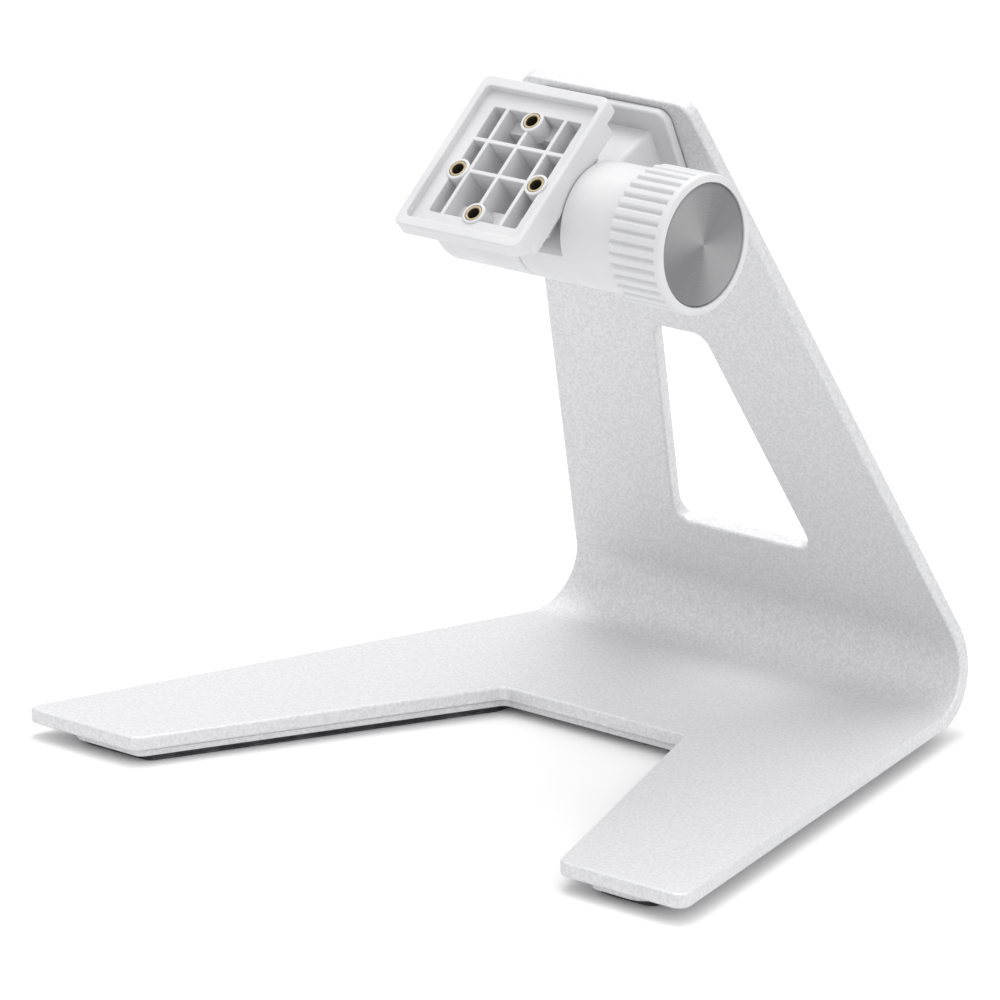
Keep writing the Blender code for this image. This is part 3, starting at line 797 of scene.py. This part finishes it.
def mount_shell(mat):
    """The moving half of the hinge: barrel lug, ribbed body and rimmed mounting face."""
    body = solid(mount_core(), HEAD)
    deep = rectangle(DEEP_X, (-DEEP_HALF, DEEP_HALF), 0.8, 4)
    barrel = [(0, LUG_X[0]), (BARREL_R, LUG_X[0]), (BARREL_R, LUG_X[1]), (0, LUG_X[1])]
    parts = [
        solid(prism(deep, rounded(DEEP_H, BODY_H + 1.0, 0.0, low_edge=0.5)), HEAD),
        solid(turned(barrel, [0, 1.2, 0.4, 0], 128, steps=6), AXLE),
    ]
    combine(body, parts, "UNION")
    wells = (WALL - DEEP_HALF, DEEP_HALF - WALL)
    well = rectangle(CELL_X, wells, 0.6, 4)
    cutters = [
        solid(pocket_cutter(CELL_X, CELL_W, BODY_H + WALL, 0.3), HEAD),
        solid(prism(well, [(DEEP_H + WALL, 0), (BODY_H + 3.0, 0)]), HEAD),
    ]
    combine(body, cutters, "DIFFERENCE")
    across = (CELL_X[0] - 0.4, CELL_X[1] + 0.4)
    slope = (CELL_W[0] - 0.4, CELL_W[1] + 0.4)
    deep_slope = (wells[0] - 0.3, wells[1] + 0.3)
    floor = BODY_H + WALL / 2
    deep_floor = DEEP_H + WALL / 2
    ribs = []
    for x in RIB_X:
        ribs.append(solid(rib(False, x, slope, floor, LAND_H), HEAD))
        ribs.append(solid(rib(False, x, deep_slope, deep_floor, LAND_H - 2), HEAD))
    for w in RIB_W:
        ribs.append(solid(rib(True, w, across, deep_floor, LAND_H - 0.02), HEAD))
    for spot in insert_spots().values():
        ribs.append(solid(rod(BOSS_R, floor, BOSS_TOP, 0.35, 48, spot), HEAD))
    combine(body, ribs, "UNION")
    before = LUG_X[0] - 0.7
    beyond = LUG_X[1] + 1.7
    bore = [
        (0, before),
        (CAP_SEAT_R, before),
        (CAP_SEAT_R, CAP_SEAT_X),
        (HEAD_WELL_R, CAP_SEAT_X),
        (HEAD_WELL_R, HEAD_WELL_X),
        (BUSH_HOLE_R, HEAD_WELL_X),
        (BUSH_HOLE_R, RING_SEAT_X),
        (RING_SEAT_R, RING_SEAT_X),
        (RING_SEAT_R, beyond),
        (0, beyond),
    ]
    tools = [solid(turned(bore, [0] * len(bore), 64), AXLE)]
    for spot in insert_spots().values():
        hole = rod(INSERT_HOLE_R, INSERT_H[0] - 0.3, BOSS_TOP + 0.9, 0.0, 40, spot)
        tools.append(solid(hole, HEAD))
    combine(body, tools, "DIFFERENCE")
    piece(body, "mount_shell", mat, "tilt_head", ["mount_plate"])


def thread_insert(name, spot, mat):
    """A flanged brass insert: waisted outside, M3 thread inside."""
    low, high = INSERT_H
    rows = 60
    count = 36
    rings = []
    for k in range(rows + 1):
        height = low + (high - 0.35 - low) * k / rows
        ring = []
        for i in range(count):
            turn = i / count
            wave = abs(((height / THREAD_PITCH - turn) % 1.0) * 2 - 1)
            ring.append((THREAD_R - THREAD_DEPTH * (1 - wave) + 0.12, turn, height))
        rings.append(ring)
    outside = [
        (INSERT_R - 0.4, high),
        (INSERT_R - 0.15, high),
        (INSERT_R, high - 0.15),
        (INSERT_R, high - 0.9),
        (INSERT_WAIST_R, high - 1.1),
        (INSERT_WAIST_R, low + 0.3),
        (INSERT_WAIST_R - 0.15, low),
    ]
    for radius, height in outside:
        rings.append([(radius, i / count, height) for i in range(count)])
    bm = bmesh.new()
    verts = []
    for ring in rings:
        row = []
        for radius, turn, height in ring:
            angle = 2 * math.pi * turn
            row.append(bm.verts.new((radius * math.cos(angle), radius * math.sin(angle), height)))
        verts.append(row)
    for one, two in zip(verts, verts[1:] + verts[:1]):
        for i in range(count):
            j = (i + 1) % count
            bm.faces.new((one[i], one[j], two[j], two[i]))
    bmesh.ops.translate(bm, vec=(*spot, 0.0), verts=bm.verts)
    piece(solid(bm, HEAD), f"{name}_thread", mat, "tilt_head", [name])


def socket_screw(number, spot, mat):
    """A countersunk screw seen from behind, with its hexagon socket."""
    head = -SHEET + 0.05
    neck = head + SCREW_HEAD_R - SCREW_R
    points = [(0, head), (SCREW_HEAD_R, head), (SCREW_R, neck), (SCREW_R, SCREW_END), (0, SCREW_END)]
    screw = solid(turned(points, [0, 0.15, 0.1, 0.4, 0], 48, spot), PLATE)
    hexagon = circle(SOCKET_R, 6, spot)
    socket = solid(prism(hexagon, [(-SHEET - 1.0, 0), (-SHEET + SOCKET_DEPTH, 0)]), PLATE)
    combine(screw, [socket], "DIFFERENCE")
    piece(screw, f"sunk_screw_{number}", mat, "stand", [f"bracket_screw_{number}"])


def end_cap(mat):
    """The plug in the barrel's left end, with a shallow dish and a gate mark."""
    low, high = box_mm("lug_cap")
    left, right = low.x, high.x
    radius = (high.z - low.z) / 2
    points = [
        (0, left + 0.25),
        (0.6, left + 0.25),
        (0.9, left + 0.6),
        (8.8, left + 0.6),
        (9.4, left),
        (radius, left),
        (radius, left + 1.0),
        (HEAD_WELL_R - GAP, left + 1.0),
        (HEAD_WELL_R - GAP, right),
        (0, right),
    ]
    radii = [0, 0.1, 0.1, 0.3, 0.3, 0.5, 0, 0, 0.3, 0]
    cap = solid(turned(points, radii, 128, steps=6), AXLE)
    piece(cap, "barrel_cap", mat, "tilt_head", ["lug_cap"])


def groove_share(turn):
    """How far down a flute's narrow groove a point is, over one flute."""
    across = abs(turn - 0.5) / (FLUTE_WIDTH / 2)
    return 0.0 if across >= 1 else (1 + math.cos(math.pi * across)) / 2


def knob_grip(mat):
    """Fluted grip with a plain front lip, a rear recess and a seat for the disc."""
    low, high = box_mm("knob_body")
    back, front = low.x - HINGE.x, high.x - HINGE.x
    outer = (high.z - low.z) / 2
    seat = (box_mm("knob_disc")[1].z - box_mm("knob_disc")[0].z) / 2 + 0.25
    outline = [
        (0, back + KNOB_BORE_DEPTH),
        (KNOB_BORE_R, back + KNOB_BORE_DEPTH),
        (KNOB_BORE_R, back + 0.6),
        (BACK_RECESS_R, back + 0.6),
        (BACK_RECESS_R, back),
        (outer, back),
        (outer, front),
        (seat, front),
        (seat, front - DISC_SEAT_DEPTH),
        (0, front - DISC_SEAT_DEPTH),
    ]
    profile = fillet(outline, [0, 0.2, 0.2, 0.1, 0.2, 0.5, 0.8, 0.2, 0, 0], 6)
    stop = front - FRONT_LIP
    ends = [back + 1.2] + [stop - FLUTE_FADE * k / 5 for k in range(5, -1, -1)]
    rings = []
    for point, onward in zip(profile, profile[1:] + profile[:1]):
        rings.append((point.x, point.y))
        if abs(point.x - outer) < 1e-3 and abs(onward.x - outer) < 1e-3 and onward.y - point.y > 2:
            rings += [(outer, height) for height in ends]
    bm = bmesh.new()
    rows = []
    count = FLUTES * FLUTE_POINTS
    for radius, height in rings:
        if radius < 1e-6:
            rows.append([bm.verts.new((0, 0, height))])
            continue
        inside = (stop - height) / FLUTE_FADE
        share = 0.0
        if radius > outer - 0.6 and inside > 0:
            share = math.sin(math.pi / 2 * min(1.0, inside))
        row = []
        for k in range(count):
            angle = 2 * math.pi * k / count
            reach = radius - FLUTE_DEPTH * share * groove_share(k % FLUTE_POINTS / FLUTE_POINTS)
            row.append(bm.verts.new((reach * math.cos(angle), reach * math.sin(angle), height)))
        rows.append(row)
    for one, two in zip(rows, rows[1:]):
        for i in range(count):
            j = (i + 1) % count
            if len(one) == 1:
                bm.faces.new((one[0], two[j], two[i]))
            elif len(two) == 1:
                bm.faces.new((one[i], one[j], two[0]))
            else:
                bm.faces.new((one[i], one[j], two[j], two[i]))
    piece(solid(bm, AXLE), "knob_grip", mat, "knob", ["knob_body"])


def spun_disc(mat):
    """The inlay: a bevelled edge, faint turned steps and a centre dimple."""
    low, high = box_mm("knob_disc")
    back, front = low.x - HINGE.x, high.x - HINGE.x
    outer = (high.z - low.z) / 2
    points = [(0, back), (outer, back), (outer, front - 0.25), (outer - 0.35, front)]
    radius = outer - 1.2
    while radius > 1.5:
        points += [(radius, front), (radius - 0.08, front - 0.012), (radius - 0.16, front)]
        radius -= 1.0
    points += [(0.6, front), (0, front - 0.06)]
    radii = [0] * len(points)
    disc = solid(turned(points, radii, 160), AXLE)
    piece(disc, "spun_disc", mat, "knob", ["knob_disc"])


def build_object():
    silver = blasted_silver()
    white = white_plastic()
    rubber = dark_rubber()
    steel = plated_steel()
    yellow = brass()
    bored = bored_brass()
    fibre = friction_fibre()
    nylon = natural_nylon()
    stand_sheet(silver)
    weight_layer(grey_steel())
    foot(-1, "foot_pad_left", "foot_strip_left", rubber)
    foot(1, "foot_pad_right", "foot_strip_right", rubber)
    bracket_shell(white)
    mount_shell(white)
    end_cap(white)
    knob_grip(white)
    spun_disc(spun_metal())
    for name, spot in insert_spots().items():
        thread_insert(name, spot, bored)
    for number, spot in enumerate(screw_spots(), 1):
        socket_screw(number, spot, steel)
    inner = {
        "clamp_bolt": steel,
        "bolt_washer": steel,
        "disc_spring": steel,
        "lug_bush": nylon,
        "thrust_washer": nylon,
        "friction_ring_fixed": fibre,
        "friction_ring_moving": fibre,
        "knob_insert": yellow,
        "bracket_insert_1": yellow,
        "bracket_insert_2": yellow,
        "bracket_insert_3": yellow,
        "bracket_insert_4": yellow,
    }
    for name, mat in inner.items():
        mesh = frame["nodes"][name].data
        mesh.materials.clear()
        mesh.materials.append(mat)


# Studio.

HORIZON = 0.66
ZENITH = 1.3

def add_floor():
    bm = bmesh.new()
    bmesh.ops.create_grid(bm, x_segments=1, y_segments=1, size=12.0)
    mesh = bpy.data.meshes.new("floor")
    bm.to_mesh(mesh)
    bm.free()
    finish = Finish("pale_floor", (0.9, 0.9, 0.9), 0.0, 0.7)
    cloud = finish.noise(3.0, 2.0)
    finish.colors(cloud, (0.895, 0.895, 0.9), (0.905, 0.905, 0.905))
    mesh.materials.append(finish.mat)
    floor = bpy.data.objects.new("floor", mesh)
    bpy.context.scene.collection.objects.link(floor)


def softbox(name, place, target, size, power):
    light = bpy.data.lights.new(name, "AREA")
    light.shape = "RECTANGLE"
    light.size, light.size_y = size
    light.energy = power
    obj = bpy.data.objects.new(name, light)
    obj.location = place
    aim = Vector(target) - Vector(place)
    obj.rotation_euler = aim.to_track_quat("-Z", "Y").to_euler()
    bpy.context.scene.collection.objects.link(obj)


def light_studio():
    """A white tent, brighter overhead, with a top box and a weaker one on the right."""
    world = bpy.data.worlds.new("studio")
    world.use_nodes = True
    tree = world.node_tree
    background = tree.nodes["Background"]
    background.inputs["Color"].default_value = (1.0, 1.0, 1.0, 1.0)
    direction = tree.nodes.new("ShaderNodeTexCoord")
    split = tree.nodes.new("ShaderNodeSeparateXYZ")
    tree.links.new(direction.outputs["Generated"], split.inputs[0])
    ramp = tree.nodes.new("ShaderNodeMapRange")
    tree.links.new(split.outputs[2], ramp.inputs["Value"])
    ramp.inputs["To Min"].default_value = HORIZON
    ramp.inputs["To Max"].default_value = ZENITH
    tree.links.new(ramp.outputs[0], background.inputs["Strength"])
    scene = bpy.context.scene
    scene.world = world
    scene.view_settings.view_transform = "Standard"
    centre = (0.0, 0.0, 0.09)
    softbox("top", (-0.3, 0.3, 1.6), centre, (0.9, 0.9), 9.0)
    softbox("side", (1.5, -0.2, 0.9), centre, (0.7, 0.9), 3.0)


def add_camera():
    """Seen from the front right and a little above, through a long lens."""
    azimuth = math.radians(41.704)
    elevation = math.radians(16.399)
    roll = math.radians(0.294)
    distance = 1.859
    target = Vector((-0.0621, 0.0009, 0.0394))
    back = Vector((
        math.sin(azimuth) * math.cos(elevation),
        -math.cos(azimuth) * math.cos(elevation),
        math.sin(elevation),
    ))
    right = Vector((math.cos(azimuth), math.sin(azimuth), 0.0))
    up = back.cross(right)
    data = bpy.data.cameras.new("camera")
    data.sensor_width = 36.0
    data.lens = 247.7
    data.shift_x = 0.1088
    data.shift_y = 0.0621
    camera = bpy.data.objects.new("camera", data)
    turn = Matrix((right, up, back)).transposed() @ Matrix.Rotation(roll, 3, "Z")
    camera.matrix_world = Matrix.Translation(target + back * distance) @ turn.to_4x4()
    bpy.context.scene.collection.objects.link(camera)
    bpy.context.scene.camera = camera


build_object()
add_floor()
light_studio()
add_camera()
